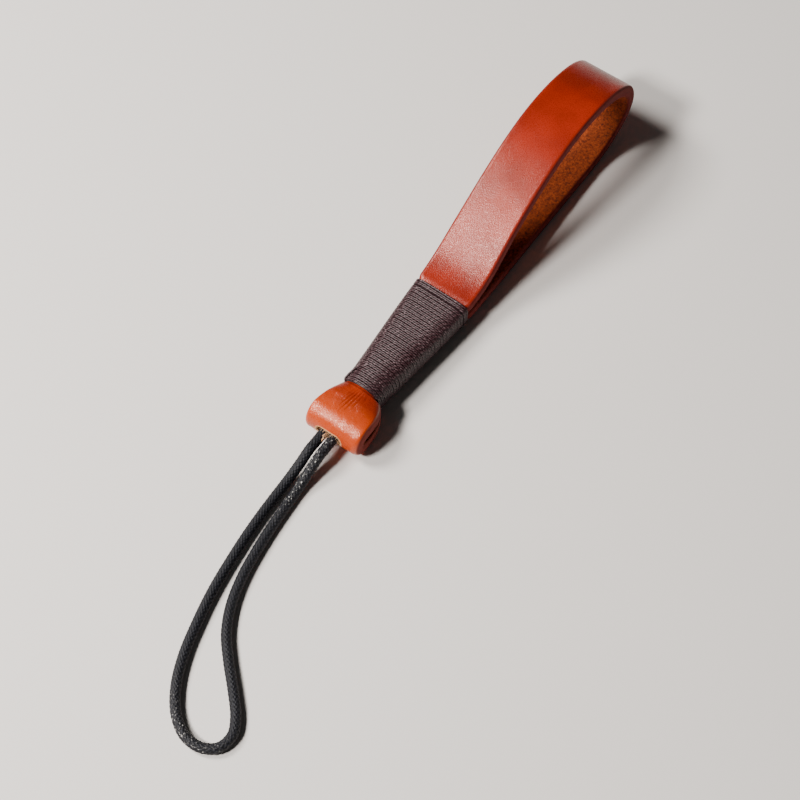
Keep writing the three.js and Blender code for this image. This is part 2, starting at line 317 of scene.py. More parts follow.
# Braided cotton cord, dyed black and waxed: bluish charcoal strands, worn lighter in flecks, with painted shade nearly
# black between them and painted white highlights in specks near the slot and round the end bend. The flecks are
# coarser than real fibres, so that they show.
# the darkest colour here is painted shade for the crevices between the strands, and the white is a painted highlight
# in specks
cordLook = {
    "paintedCreviceShade": "#020203", "strand": "#0b0c10", "worn": "#3a3b45", "paintedGlint": "#e6e3de",
    "yarn": 0.42, "glintSpot": 0.75, "roughness": 0.52, "specular": 0.25, "reliefDepth": 0.03,
}

cordMaterial, tree, shader = newMaterial("waxed_cotton_braid",
                                         {"IOR": 1.5, "Specular IOR Level": cordLook["specular"]})
at = addNode(tree, "ShaderNodeAttribute", {"attribute_name": "braidAt"}).outputs["Vector"]
crown = addNode(tree, "ShaderNodeAttribute", {"attribute_name": "strandCrown"}).outputs["Fac"]
paintedGlintMask = addNode(tree, "ShaderNodeAttribute", {"attribute_name": "paintedGlintLeft"}).outputs["Fac"]
yarns = addNode(tree, "ShaderNodeTexNoise",
                {"Scale": 1 / cordLook["yarn"], "Detail": 4.0, "Roughness": 0.7}, {"Vector": at})
wear = addNode(tree, "ShaderNodeMapRange", {"From Min": 0.46, "From Max": 0.66}, {"Value": yarns.outputs["Fac"]})
strands = addNode(tree, "ShaderNodeMix",
                  {"data_type": "RGBA", 6: toLinear(cordLook["strand"]), 7: toLinear(cordLook["worn"])},
                  {0: wear.outputs["Result"]})
# painted shade: nearly black in the crevices between the strands
shaded = addNode(tree, "ShaderNodeMix", {"data_type": "RGBA", 6: toLinear(cordLook["paintedCreviceShade"])},
                 {0: crown, 7: strands.outputs[2]})
# painted highlight: white specks where the braid takes glints near the slot and round the end bend
spots = addNode(tree, "ShaderNodeTexNoise",
                {"Scale": 1 / cordLook["glintSpot"], "Detail": 5.0, "Roughness": 0.65}, {"Vector": at})
glintPatch = addNode(tree, "ShaderNodeMapRange", {"From Min": 0.58, "From Max": 0.66}, {"Value": spots.outputs["Fac"]})
glintHere = addNode(tree, "ShaderNodeMath", {"operation": "MULTIPLY"}, {0: glintPatch.outputs["Result"], 1: paintedGlintMask})
cordColour = addNode(tree, "ShaderNodeMix", {"data_type": "RGBA", 7: toLinear(cordLook["paintedGlint"])},
                     {0: glintHere.outputs[0], 6: shaded.outputs[2]})
tree.links.new(cordColour.outputs[2], shader.inputs["Base Color"])
cordRough = addNode(tree, "ShaderNodeMapRange",
                    {"To Min": cordLook["roughness"] - 0.1, "To Max": cordLook["roughness"] + 0.2},
                    {"Value": yarns.outputs["Fac"]})
tree.links.new(cordRough.outputs["Result"], shader.inputs["Roughness"])
cordRelief = addNode(tree, "ShaderNodeBump", {"Strength": 0.8, "Distance": cordLook["reliefDepth"] * mm},
                     {"Height": yarns.outputs["Fac"]})
tree.links.new(cordRelief.outputs["Normal"], shader.inputs["Normal"])


# Loose undyed fibres of cut leather and cord: pale, dull and slightly warm
fibreLook = {"tan": "#b9733f", "pale": "#ecd3ae", "patch": 0.6, "roughness": 0.85}

fibreMaterial, tree, shader = newMaterial("raw_fibre", {"Roughness": fibreLook["roughness"], "IOR": 1.5})
fibreAt = addNode(tree, "ShaderNodeTexCoord").outputs["Object"]
fibreNoise = addNode(tree, "ShaderNodeTexNoise", {"Scale": 1 / (fibreLook["patch"] * mm), "Detail": 2.0},
                     {"Vector": fibreAt})
fibreColour = addNode(tree, "ShaderNodeMix",
                      {"data_type": "RGBA", 6: toLinear(fibreLook["tan"]), 7: toLinear(fibreLook["pale"])},
                      {0: fibreNoise.outputs["Fac"]})
tree.links.new(fibreColour.outputs[2], shader.inputs["Base Color"])
print("materials made")


# cord: one length doubled into a loop, both ends going into the slot of the folded end
cord = {
    "diameter": 3.2,
    "strandsEachWay": 10,
    "strandPitch": 1.45,
    "strandDepth": 0.28,
    "ringSpacing": 0.14,
    "pointsRound": 60,
    "legSpacing": 3.5,
    "axisHeight": 6.1,
    "rootX": -71.2,
    "slotX": -75.0,
    "boundStartX": -42.5,
    "boundEndX": -70.0,
    # where the painted highlight specks go: how strong, where along the cord, and which side of it they face
    "slotGlint": {"most": 0.8, "from": 0.84, "over": 0.05, "facing": 2.09, "edge": 0.4, "fade": 0.3},
    "bendGlint": {"most": 0.7, "at": 0.47, "reach": 0.05, "facing": 1.2, "edge": 0.3, "fade": 0.4},
}
lieHeight = 1.62  # of the cord's middle where it lies on the table
cordRoute = [
    (-79.0, 1.75, 6.1), (-80.8, 1.8, 6.0), (-85.0, 1.9, 4.3), (-91.0, 2.2, 2.1), (-100.0, 2.0, lieHeight),
    (-110.0, 1.3, lieHeight), (-120.0, 0.1, lieHeight), (-130.0, -1.5, lieHeight), (-140.0, -3.9, lieHeight),
    (-150.0, -7.0, lieHeight), (-158.0, -10.9, lieHeight), (-164.0, -15.8, lieHeight), (-167.4, -21.6, lieHeight),
    (-167.4, -27.2, lieHeight), (-164.6, -31.0, lieHeight), (-160.0, -31.8, lieHeight), (-155.4, -29.4, lieHeight),
    (-149.8, -24.1, lieHeight), (-144.0, -18.0, lieHeight), (-138.0, -12.5, lieHeight), (-131.0, -8.5, lieHeight),
    (-123.0, -5.8, lieHeight), (-113.0, -3.9, lieHeight), (-102.0, -2.6, lieHeight), (-91.0, -1.8, 2.1),
    (-85.0, -1.7, 4.3), (-80.8, -1.75, 6.0), (-79.0, -1.75, 6.1),
]


# A round braid: strands run both ways round the cord, each passing over one and under the next
def braidedTube(name, line, look):
    line, along = evenly(line, look["ringSpacing"])
    _, across, upward = acrossLine(line, (0, 1, 0))
    angle = np.linspace(0, 2 * math.pi, look["pointsRound"], endpoint=False)
    turnShare = angle[None, :] / (2 * math.pi) * look["strandsEachWay"]
    advance = along[:, None] / look["strandPitch"]
    right = turnShare + advance
    left = turnShare - advance
    over = np.sin(math.pi * right) * np.sin(math.pi * left)
    rightHeight = np.abs(np.sin(math.pi * right)) ** 0.6 * (0.55 + 0.45 * over)
    leftHeight = np.abs(np.sin(math.pi * left)) ** 0.6 * (0.55 - 0.45 * over)
    crown = np.maximum(rightHeight, leftHeight)
    radius = look["diameter"] / 2 - look["strandDepth"] * (1 - crown)
    outward = (np.cos(angle)[None, :, None] * across[:, None, :]
               + np.sin(angle)[None, :, None] * upward[:, None, :])
    points = line[:, None, :] + radius[:, :, None] * outward
    braidAt = np.stack(np.broadcast_arrays(along[:, None], angle[None, :] * look["diameter"] / 2, 0.0), axis=-1)
    lengthShare = along / along[-1]
    # painted highlight: white glint specks along the inner side of the second leg near the slot and round the end bend
    slotGlint, bendGlint = look["slotGlint"], look["bendGlint"]
    nearSlot = smooth((lengthShare - slotGlint["from"]) / slotGlint["over"])
    endBend = np.exp(-((lengthShare - bendGlint["at"]) / bendGlint["reach"]) ** 2)
    slotSide = smooth((np.cos(angle + slotGlint["facing"]) - slotGlint["edge"]) / slotGlint["fade"])
    bendSide = smooth((np.cos(angle + bendGlint["facing"]) - bendGlint["edge"]) / bendGlint["fade"])
    paintedGlintLeft = (slotGlint["most"] * nearSlot[:, None] * slotSide[None, :]
               + bendGlint["most"] * endBend[:, None] * bendSide[None, :])
    fields = {"strandCrown": crown.ravel(), "braidAt": braidAt.reshape(-1, 3),
              "paintedGlintLeft": np.clip(paintedGlintLeft, 0, 1).ravel()}
    faces = ringFaces(len(line), look["pointsRound"])
    return makeObject(name, points.reshape(-1, 3), faces, fields, cordMaterial), line, along[-1]


side = cord["legSpacing"] / 2
routeInside = [(cord["rootX"], side, cord["axisHeight"]), (cord["slotX"], side, cord["axisHeight"])]
routeBack = [(cord["slotX"], -side, cord["axisHeight"]), (cord["rootX"], -side, cord["axisHeight"])]
cordLine = throughPoints(routeInside + cordRoute + routeBack)
cordLine[:, 2] = np.maximum(cordLine[:, 2], lieHeight)
looseCord, cordCentre, cordLength = braidedTube("cord_loop_braid", cordLine, cord)
print("cord braided,", round(cordLength, 1), "mm long")

for sideName, sideSign in (("left", 1), ("right", -1)):
    boundLine = [(x, sideSign * side, cord["axisHeight"]) for x in (cord["boundStartX"], cord["boundEndX"])]
    boundEnd, _, _ = braidedTube(sideName + "_bound_cord_end", boundLine, cord)
    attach(boundEnd, "binding")
    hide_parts(sideName + "_cord_end")

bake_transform(looseCord)
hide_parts("left_cord_neck", "right_cord_neck", "cord_loop")


# thread binding: one thread wound from the throat of the wrist loop down to the folded end
binding = {
    "throatX": -17.0, "endX": -58.5,
    "throatHalfWidth": 9.66, "throatHalfHeight": 4.81, "throatZ": 5.61, "throatSquareness": 6.0,
    "endHalfWidth": 6.6, "endHalfHeight": 6.3, "endZ": 6.3, "endSquareness": 2.3,
    "thread": 0.66, "step": 0.24, "threadPoints": 8, "plyPitch": 1.4, "plyMean": 0.96, "plySwell": 0.05,
    "bandTurns": 3, "bandGap": 0.42, "pairShift": 0.05, "unevenness": 0.05, "evenEnd": 0.5, "evenFade": 1.0,
    "diveDepth": 0.6, "diveRate": 6,
}


def bindingSection(x):
    share = np.clip((binding["throatX"] - x) / (binding["throatX"] - binding["endX"]), 0, 1)
    eased = smooth(share)
    return (mix(binding["throatHalfWidth"], binding["endHalfWidth"], mix(share, eased, 0.5)),
            mix(binding["throatHalfHeight"], binding["endHalfHeight"], eased),
            mix(binding["throatSquareness"], binding["endSquareness"], np.sqrt(share)),
            mix(binding["throatZ"], binding["endZ"], eased))


# outline of the binding at x, from the middle of its underside, at even spacing
def bindingOutline(x, inset, count):
    halfWidth, halfHeight, squareness, centreZ = bindingSection(x)
    angle = np.linspace(-math.pi / 2, 1.5 * math.pi, 1441)
    power = 2 / squareness
    y = np.sign(np.cos(angle)) * np.abs(np.cos(angle)) ** power * (halfWidth - inset)
    z = np.sign(np.sin(angle)) * np.abs(np.sin(angle)) ** power * (halfHeight - inset)
    lengths = np.concatenate([[0], np.cumsum(np.hypot(np.diff(y), np.diff(z)))])
    wanted = np.linspace(0, lengths[-1], count)
    return np.interp(wanted, lengths, y), centreZ + np.interp(wanted, lengths, z), lengths[-1]


outlineStations = np.linspace(binding["throatX"], binding["endX"], 64)
outlineCount = 401
shareStep = 0.002  # between neighbouring places on the outline, to find which way it faces
outlines = [bindingOutline(x, binding["thread"] / 2, outlineCount) for x in outlineStations]
outlineY = np.array([outline[0] for outline in outlines])
outlineZ = np.array([outline[1] for outline in outlines])
outlineLength = np.array([outline[2] for outline in outlines])


# place on the winding at x, a share of a turn round from the middle of its underside
def onBinding(x, turnShare):
    share = np.clip((binding["throatX"] - x) / (binding["throatX"] - binding["endX"]), 0, 1)
    station = share * (len(outlineStations) - 1)
    lower = np.minimum(station.astype(int), len(outlineStations) - 2)
    between = station - lower
    place = turnShare * (outlineCount - 1)
    before = np.minimum(place.astype(int), outlineCount - 2)
    part = place - before

    def blended(table):
        near = mix(table[lower, before], table[lower, before + 1], part)
        far = mix(table[lower + 1, before], table[lower + 1, before + 1], part)
        return mix(near, far, between)

    return blended(outlineY), blended(outlineZ)


# points of a twisted two-ply thread along a line, with the direction away from the part at each point
def twistedThread(line, outward, sideways, look):
    steps = np.linalg.norm(np.diff(line, axis=0), axis=1)
    along = np.concatenate([[0], np.cumsum(steps)])
    angle = np.linspace(0, 2 * math.pi, look["threadPoints"], endpoint=False)
    twist = 2 * math.pi * along / look["plyPitch"]
    ply = np.cos(2 * (angle[None, :] - twist[:, None] / 2))
    radius = look["thread"] / 2 * (look["plyMean"] + look["plySwell"] * ply)
    roundThread = (np.cos(angle)[None, :, None] * outward[:, None, :]
                   + np.sin(angle)[None, :, None] * sideways[:, None, :])
    points = line[:, None, :] + radius[:, :, None] * roundThread
    threadAt = np.stack(np.broadcast_arrays(along[:, None], angle[None, :] * look["thread"], 0.0), axis=-1)
    return points.reshape(-1, 3), (0.5 + 0.5 * ply).ravel(), threadAt.reshape(-1, 3)


def woundThread(look):
    firstX = look["throatX"] - look["thread"] / 2
    room = look["throatX"] - look["endX"] - look["thread"] - look["bandGap"]
    turns = int(room / look["thread"])
    pitch = room / turns
    meanLength = outlineLength.mean()
    turn = np.linspace(0, turns, int(turns * meanLength / look["step"]))
    # the band at the throat stands a little apart from the rest
    x = firstX - pitch * turn - look["bandGap"] * smooth((turn - look["bandTurns"] + 0.12) / 0.24)
    x += look["pairShift"] * np.sin(math.pi * turn)
    uneven = np.array([(wave(t * 0.83, 4.0, 0.0, 1.0), wave(t * 0.61, 9.0, 3.0, 1.0)) for t in turn])
    fromThroat = smooth((look["throatX"] - look["evenEnd"] - x) / look["evenFade"])
    fromEnd = smooth((x - look["endX"] - look["evenEnd"]) / look["evenFade"])
    x += look["unevenness"] * uneven[:, 0] * fromThroat * fromEnd
    turnShare = turn % 1.0
    y, z = onBinding(x, turnShare)
    aheadY, aheadZ = onBinding(x, (turnShare + shareStep) % 1.0)
    behindY, behindZ = onBinding(x, (turnShare - shareStep) % 1.0)
    outward = np.stack([np.zeros_like(x), aheadZ - behindZ, behindY - aheadY], axis=1)
    outward /= np.linalg.norm(outward, axis=1, keepdims=True)
    # the two ends dive under the turns beside them
    dive = look["diveDepth"] * (smooth(1 - turn * look["diveRate"])
                                + smooth(1 - (turns - turn) * look["diveRate"]))
    lift = look["unevenness"] * uneven[:, 1] - dive
    line = np.stack([x, y, z], axis=1) + outward * lift[:, None]
    sideways = np.tile([1.0, 0.0, 0.0], (len(x), 1))
    points, crown, threadAt = twistedThread(line, outward, sideways, look)
    return points, crown, threadAt, ringFaces(len(line), look["threadPoints"])


points, crown, threadAt, faces = woundThread(binding)

# the last length of thread is laid back over the end turns and tucked in on the far side
tuckShares = [0.405, 0.39, 0.368, 0.346, 0.33, 0.322]
tuckX = [-52.6, -53.3, -54.9, -56.6, -57.9, -58.25]
tuckLift = [-0.25, 0.42, 0.6, 0.6, 0.42, -0.3]
tuckY, tuckZ = onBinding(np.array(tuckX), np.array(tuckShares))
towardsY, towardsZ = onBinding(np.array(tuckX), np.array(tuckShares) + shareStep)
tuckOut = np.stack([np.zeros(len(tuckX)), towardsZ - tuckZ, tuckY - towardsY], axis=1)
tuckOut /= np.linalg.norm(tuckOut, axis=1, keepdims=True)
tuckLine = np.stack([tuckX, tuckY, tuckZ], axis=1) + tuckOut * np.array(tuckLift)[:, None]
tuckLine, _ = evenly(throughPoints(tuckLine), binding["step"])
_, tuckAcross, tuckUp = acrossLine(tuckLine, tuckOut[0])
tuckPoints, tuckCrown, tuckAt = twistedThread(tuckLine, tuckAcross, tuckUp, binding)
faces += ringFaces(len(tuckLine), binding["threadPoints"], first=len(points))
threadFields = {"plyCrown": np.concatenate([crown, tuckCrown]), "threadAt": np.vstack([threadAt, tuckAt])}
boundThread = makeObject("binding_thread_turns", np.vstack([points, tuckPoints]), faces, threadFields,
                         threadMaterial)
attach(boundThread, "binding")
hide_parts("binding_thread")

# the first layer of winding shows only as the dark line behind the throat band; its colour is held near the thread's
# painted crevice shade
firstLayer = {
    "endGap": 0.25, "outerInset": 0.5, "innerInset": 0.92, "crown": 0.1, "rings": 120, "pointsRound": 120,
}
layerTop, layerFoot = binding["throatX"] - firstLayer["endGap"], binding["endX"] + firstLayer["endGap"]
layerRings = []
for fromX, toX, inset in ((layerTop, layerFoot, firstLayer["outerInset"]),
                          (layerFoot, layerTop, firstLayer["innerInset"])):
    for x in np.linspace(fromX, toX, firstLayer["rings"]):
        y, z, _ = bindingOutline(x, inset, firstLayer["pointsRound"] + 1)
        layerRings.append(np.stack([np.full(firstLayer["pointsRound"], x), y[:-1], z[:-1]], axis=1))
layerPoints = np.concatenate(layerRings)
layerFields = {"plyCrown": np.full(len(layerPoints), firstLayer["crown"]), "threadAt": layerPoints}
underLayer = makeObject("binding_first_layer", layerPoints,
                        ringFaces(2 * firstLayer["rings"], firstLayer["pointsRound"], joined=True),
                        layerFields, threadMaterial)
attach(underLayer, "binding")
print("binding wound")


# The leather strip has a rounded section with its grain side out. These are the places round it, as shares of
# the half width and of the half thickness.
def stripSection(facePoints, cornerWide, cornerHigh):
    across = np.linspace(-1 + cornerWide, 1 - cornerWide, facePoints)
    corner = np.linspace(0, math.pi / 2, 6)[1:-1]
    top = [(a, 1.0) for a in across]
    rightTop = [(1 - cornerWide + cornerWide * math.sin(c), 1 - cornerHigh + cornerHigh * math.cos(c))
                for c in corner]
    rightSide = [(1.0, b) for b in np.linspace(1 - cornerHigh, cornerHigh - 1, 5)]
    rightBottom = [(a, -b) for a, b in reversed(rightTop)]
    half = top + rightTop + rightSide + rightBottom
    bottom = [(a, -1.0) for a in reversed(across)]
    left = [(-a, -b) for a, b in rightTop + rightSide + rightBottom]
    return np.array(half + bottom + left)


# height of a squarish oval over its middle, as a share, at a share of its half width
def ovalHeight(across, squareness):
    return (1 - min(1, abs(across)) ** squareness) ** (1 / squareness)


# 1 on the flesh side of the section and 0 on the grain side
def fleshShare(through):
    return float(smooth((-0.5 - through) / 0.35))


wristStrap = {
    "halfWidth": 9.0, "halfThickness": 2.0, "ringSpacing": 0.55, "facePoints": 44,
    "cornerWide": 0.1, "cornerHigh": 0.42, "edgeFrom": 0.925, "edgeFade": 0.06,
    "throatSpread": 0.45, "spreadX": -8, "spreadReach": 13,
    "grainSwell": 0.07, "fleshSwell": 0.12, "swellSize": 6.0, "nap": 0.05, "napSize": 0.9,
    # inside the binding: where it starts, the thread's room, and the gap between the runs that the cord widens
    "heldFromX": -15.2, "heldOver": 3.2, "threadRoom": 1.0, "lapGap": 0.15, "leastThickness": 0.2,
    "cordRoom": 1.75, "cordRoomFromX": -39.5, "cordRoomOver": 2.5, "cordRoomHalfWidth": 4.9, "cordRoomFade": 1.2,
    "lowest": 0.02,
}
# centre line seen from the side: start, leaving handle, arriving handle, end
hingeX = -12.55
strapSpans = [
    ((-56.3, 7.76), (12, 0), (-12, 0), (-18.6, 7.76)),
    ((-18.6, 7.76), (5.5, 0.3), (-5.6, -3.66), (-2.5, 13.0)),
    ((-2.5, 13.0), (9.6, 6.27), (-17.5, 0), (43, 31.7)),
    ((43, 31.7), (15, 0), (0, 10.5), (72.5, 14.5)),
    ((72.5, 14.5), (0, -8), (11, 0), (50, 2)),
    ((50, 2), (-12, 0), (12, 0), (10, 2)),
    ((10, 2), (-8, 0), (8, 0), (hingeX, 3.46)),
    ((hingeX, 3.46), (-12, 0), (12, 0), (-56.3, 3.46)),
]


def strapCentreLine():
    line = []
    for start, leave, arrive, end in strapSpans:
        start, end = np.array(start, float), np.array(end, float)
        first, second = start + np.array(leave), end + np.array(arrive)
        for t in np.linspace(0, 1, 160, endpoint=False):
            rest = 1 - t
            line.append(rest ** 3 * start + 3 * rest ** 2 * t * first + 3 * rest * t * t * second + t ** 3 * end)
    line.append(np.array(strapSpans[-1][3], float))
    return evenly(line, wristStrap["ringSpacing"])


strapLine, strapAlong = strapCentreLine()
tangent = np.gradient(strapLine, axis=0)
tangent /= np.linalg.norm(tangent, axis=1, keepdims=True)
outwardNormal = np.stack([-tangent[:, 1], tangent[:, 0]], axis=1)
section = stripSection(wristStrap["facePoints"], wristStrap["cornerWide"], wristStrap["cornerHigh"])
strapPoints, strapAt, strapEdge, strapFlesh = [], [], [], []
for (x, z), normal, direction, along in zip(strapLine, outwardNormal, tangent, strapAlong):
    upper = direction[0] > 0 and z > binding["throatZ"]
    # squeezed flat by the binding, the leather is a little wider just beyond it
    spread = math.exp(-((x - wristStrap["spreadX"]) / wristStrap["spreadReach"]) ** 2)
    halfWidth = wristStrap["halfWidth"] + wristStrap["throatSpread"] * spread
    insideShare = float(smooth((wristStrap["heldFromX"] - x) / wristStrap["heldOver"]))
    sleeveWidth, sleeveHeight, squareness, sleeveZ = bindingSection(x)
    for across, through in section:
        a = across * halfWidth
        b = through * wristStrap["halfThickness"]
        swell = wristStrap["grainSwell"] if b > 0 else wristStrap["fleshSwell"]
        b += swell * wave(along, a, b, wristStrap["swellSize"]) * abs(through)
        if b < 0:
            b += wristStrap["nap"] * wave(along, a, 9.0, wristStrap["napSize"])
        free = np.array([x + normal[0] * b, a, z + normal[1] * b])
        if insideShare > 0:
            width = sleeveWidth - wristStrap["threadRoom"]
            roof = (sleeveHeight - wristStrap["threadRoom"]) * ovalHeight(across, squareness)
            alongCord = float(smooth((wristStrap["cordRoomFromX"] - x) / wristStrap["cordRoomOver"]))
            fromCordSide = wristStrap["cordRoomHalfWidth"] - abs(across * width)
            overCord = float(smooth(fromCordSide / wristStrap["cordRoomFade"]))
            gap = wristStrap["lapGap"] + wristStrap["cordRoom"] * alongCord * overCord
            roof = max(roof, gap + wristStrap["leastThickness"])
            rise = mix(gap, roof, (through + 1) / 2)
            held = np.array([x, across * width, sleeveZ + (rise if upper else -rise)])
            free = mix(free, held, insideShare)
        strapPoints.append(free)
        strapAt.append((along, a, b))
        strapEdge.append(float(smooth((abs(across) - wristStrap["edgeFrom"]) / wristStrap["edgeFade"])))
        strapFlesh.append(fleshShare(through))
strapPoints = np.array(strapPoints)
strapPoints[:, 2] = np.maximum(strapPoints[:, 2], wristStrap["lowest"])
strapFields = {"stripAt": strapAt, "cutEdge": strapEdge, "fleshSide": strapFlesh,
               "rawCut": np.zeros(len(strapPoints))}
strap = makeObject("wrist_strap_leather", strapPoints, ringFaces(len(strapLine), len(section)), strapFields,
                   strapLeather)
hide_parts("wrist_strap", "upper_strap_run", "lower_strap_run")
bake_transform(strap)
print("strap shaped")


# folded end: the strip comes out of the binding, swells over the cord, turns back on itself and goes in again
fold = {
    "innerX": -57.4, "neckX": -58.5, "bendX": -68.5, "tipX": -74.0,
    "outerRadius": 6.0, "innerRadius": 2.0, "middleZ": 6.1, "lowest": 0.03,
    "insideHalfWidth": 5.5, "neckHalfWidth": 6.4, "halfWidth": 9.4,
    "insideHalfHeight": 5.15, "neckHalfHeight": 5.55, "neckStart": 0.1, "neckFade": 0.7, "fullHeightBy": 5.0,
    "nearSideSpread": 0.65, "nearFullness": 5.5, "farFullness": 2.4,  # how soon each side reaches its full width
    "neckSquareness": 2.5, "tipSquareness": 6.0, "squareRate": 1.1,
    "neckEdgeShare": 0.42, "tipEdgeShare": 0.84, "edgeRate": 1.2,  # height at the cut edge against the middle
    "cordHalfWidth": 5.2, "cordFade": 1.4, "lapGap": 0.15, "cordRoom": 1.65, "openBy": 9.5, "leastThickness": 1.0,
    "cornerFrom": 0.82, "cornerRound": 0.7, "pinch": 0.7, "pinchPower": 5,
    "swell": 0.16, "swellSize": 4.5, "ripple": 0.04, "rippleSize": 1.4,
    "creaseStart": 0.4, "creaseRise": 2.4, "creaseFade": 3.5, "creaseSpread": 9,
    "facePoints": 110, "legStep": 0.18, "bendRings": 90, "cornerWide": 0.07, "cornerHigh": 0.5,
    "edgeFrom": 0.945, "edgeFade": 0.045, "pulledMost": 0.7, "pulledFromX": -61.0, "pulledOver": 9.0,
    "grainScale": (1.4, 9, 2),  # millimetres of grain along the strip, over its half width and half thickness
}
# creases that fan out of the binding: place at the neck, place at the far end, depth, width, how far they run
foldCreases = [
    (-0.9, 0.3, 0.2, 0.16, 11.0), (-0.3, 1.5, 0.17, 0.14, 9.4), (0.3, 2.9, 0.1, 0.15, 7.2),
    (-1.7, -0.9, 0.17, 0.15, 10.2), (-2.5, -2.3, 0.12, 0.16, 8.0), (1.2, 4.4, 0.07, 0.2, 5.2),
    (-3.5, -4.3, 0.08, 0.2, 5.6),
]


# how deep the creases are at a distance out of the neck and a place across the strip
def creaseDepth(run, y):
    risen = float(smooth((run - fold["creaseStart"]) / fold["creaseRise"]))
    return sum(depth * math.exp(-((y - mix(start, end, run / fold["creaseSpread"])) / width) ** 2)
               * risen * float(smooth((length - run) / fold["creaseFade"]))
               for start, end, depth, width, length in foldCreases)


# one ring of the fold: at an x in its top or bottom leg, or at an angle round its bend
def foldRing(kind, place):
    legX = place if kind != "bend" else fold["bendX"]
    outX = place if kind != "bend" else fold["bendX"] - fold["outerRadius"] * math.cos(place)
    reach = np.clip((fold["neckX"] - outX) / (fold["neckX"] - fold["tipX"]), 0, 1)
    outOfNeck = float(smooth((fold["neckX"] + fold["neckStart"] - legX) / fold["neckFade"]))
    widths = {}
    for sideSign, fullness in ((-1, fold["nearFullness"]), (1, fold["farFullness"])):
        free = mix(fold["neckHalfWidth"], fold["halfWidth"], 1 - (1 - reach) ** fullness)
        spread = fold["nearSideSpread"] * outOfNeck * sideSign
        widths[sideSign] = mix(fold["insideHalfWidth"], free, outOfNeck) - spread
    squareness = mix(fold["neckSquareness"], fold["tipSquareness"], float(smooth(reach * fold["squareRate"])))
    edgeShare = mix(fold["neckEdgeShare"], fold["tipEdgeShare"], float(smooth(reach * fold["edgeRate"])))
    ring = []
    for across, through in foldSection:
        y = across * mix(widths[-1], widths[1], float(smooth((across + 1) / 2)))
        roof = edgeShare + (1 - edgeShare) * ovalHeight(across, squareness)
        pinched = 1 - fold["pinch"] * abs(across) ** fold["pinchPower"]
        crease = 0.0
        if kind == "bend":
            intoCorner = max(0, abs(across) - fold["cornerFrom"]) / (1 - fold["cornerFrom"])
            plumpness = 1 - fold["cornerRound"] / fold["outerRadius"] * intoCorner ** 2
            outer = np.array([fold["bendX"] - fold["outerRadius"] * math.cos(place) * plumpness,
                              fold["outerRadius"] * math.sin(place) * roof])
            inner = np.array([fold["bendX"] - fold["innerRadius"] * math.cos(place),
                              fold["innerRadius"] * math.sin(place) * pinched])
        else:
            sign = 1 if kind == "top" else -1
            run = fold["neckX"] - legX
            freeHeight = mix(fold["neckHalfHeight"], fold["outerRadius"], float(smooth(run / fold["fullHeightBy"])))
            height = mix(fold["insideHalfHeight"], freeHeight, outOfNeck)
            overCord = float(smooth((fold["cordHalfWidth"] - abs(y)) / fold["cordFade"]))
            opening = mix(fold["lapGap"] + fold["cordRoom"] * overCord, fold["innerRadius"] * pinched,
                          float(smooth(run / fold["openBy"])))
            outer = np.array([legX, sign * height * roof])
            inner = np.array([legX, sign * min(opening, height * roof - fold["leastThickness"])])
            if kind == "top":
                crease = creaseDepth(run, y)
        point = mix(inner, outer, (through + 1) / 2)
        outDirection = (outer - inner) / max(1e-6, np.linalg.norm(outer - inner))
        swell = (fold["swell"] * wave(point[0], y, point[1], fold["swellSize"])
                 + fold["ripple"] * wave(point[0], y, point[1], fold["rippleSize"])) * abs(through)
        point = point + outDirection * (swell - crease * max(0, through))
        ring.append((point[0], y, max(fold["lowest"], fold["middleZ"] + point[1])))
    return ring


foldSection = stripSection(fold["facePoints"], fold["cornerWide"], fold["cornerHigh"])
legPlaces = np.arange(fold["innerX"], fold["bendX"] + 0.01, -fold["legStep"])
bendPlaces = np.linspace(math.pi / 2, -math.pi / 2, fold["bendRings"])
foldRings = ([foldRing("top", x) for x in legPlaces] + [foldRing("bend", angle) for angle in bendPlaces]
             + [foldRing("bottom", x) for x in legPlaces[::-1]])
foldPoints = np.array(foldRings).reshape(-1, 3)
ringMiddles = np.array(foldRings).mean(axis=1)
foldAlong = np.concatenate([[0], np.cumsum(np.linalg.norm(np.diff(ringMiddles, axis=0), axis=1))])
alongScale, acrossScale, throughScale = fold["grainScale"]
foldAt = [(along * alongScale, across * acrossScale, through * throughScale)
          for along in foldAlong for across, through in foldSection]
foldEdge = [float(smooth((abs(across) - fold["edgeFrom"]) / fold["edgeFade"]))
            for _ in foldAlong for across, _ in foldSection]
foldFlesh = [fleshShare(through) for _ in foldAlong for _, through in foldSection]
foldPulled = [fold["pulledMost"] * float(smooth((fold["pulledFromX"] - x) / fold["pulledOver"]))
              for x in foldPoints[:, 0]]
foldFields = {"stripAt": foldAt, "cutEdge": foldEdge, "fleshSide": foldFlesh, "pulledRound": foldPulled,
              "rawCut": np.zeros(len(foldPoints))}
foldEnd = makeObject("end_fold_leather", foldPoints, ringFaces(len(foldRings), len(foldSection)), foldFields,
                     foldLeather)

# the slot that both ends of the cord pass through
slot = {"halfStraight": 2.55, "radius": 1.95, "from": -76.0, "to": -68.3, "arcPoints": 17, "rawRim": 0.25}
slotOutline = []
for centre, first in ((slot["halfStraight"], -math.pi / 2), (-slot["halfStraight"], math.pi / 2)):
    for angle in np.linspace(first, first + math.pi, slot["arcPoints"]):
        slotOutline.append((centre + slot["radius"] * math.cos(angle),
                            fold["middleZ"] + slot["radius"] * math.sin(angle)))
slotRings = [[(x, y, z) for y, z in slotOutline] for x in (slot["from"], slot["to"])]
cutter = makeObject("slot_cutter", np.array(slotRings).reshape(-1, 3), ringFaces(2, len(slotOutline)))
cut = foldEnd.modifiers.new("slot", "BOOLEAN")
cut.object = cutter
cut.operation = "DIFFERENCE"
cut.solver = "EXACT"
cutMesh = bpy.data.meshes.new_from_object(foldEnd.evaluated_get(bpy.context.evaluated_depsgraph_get()))
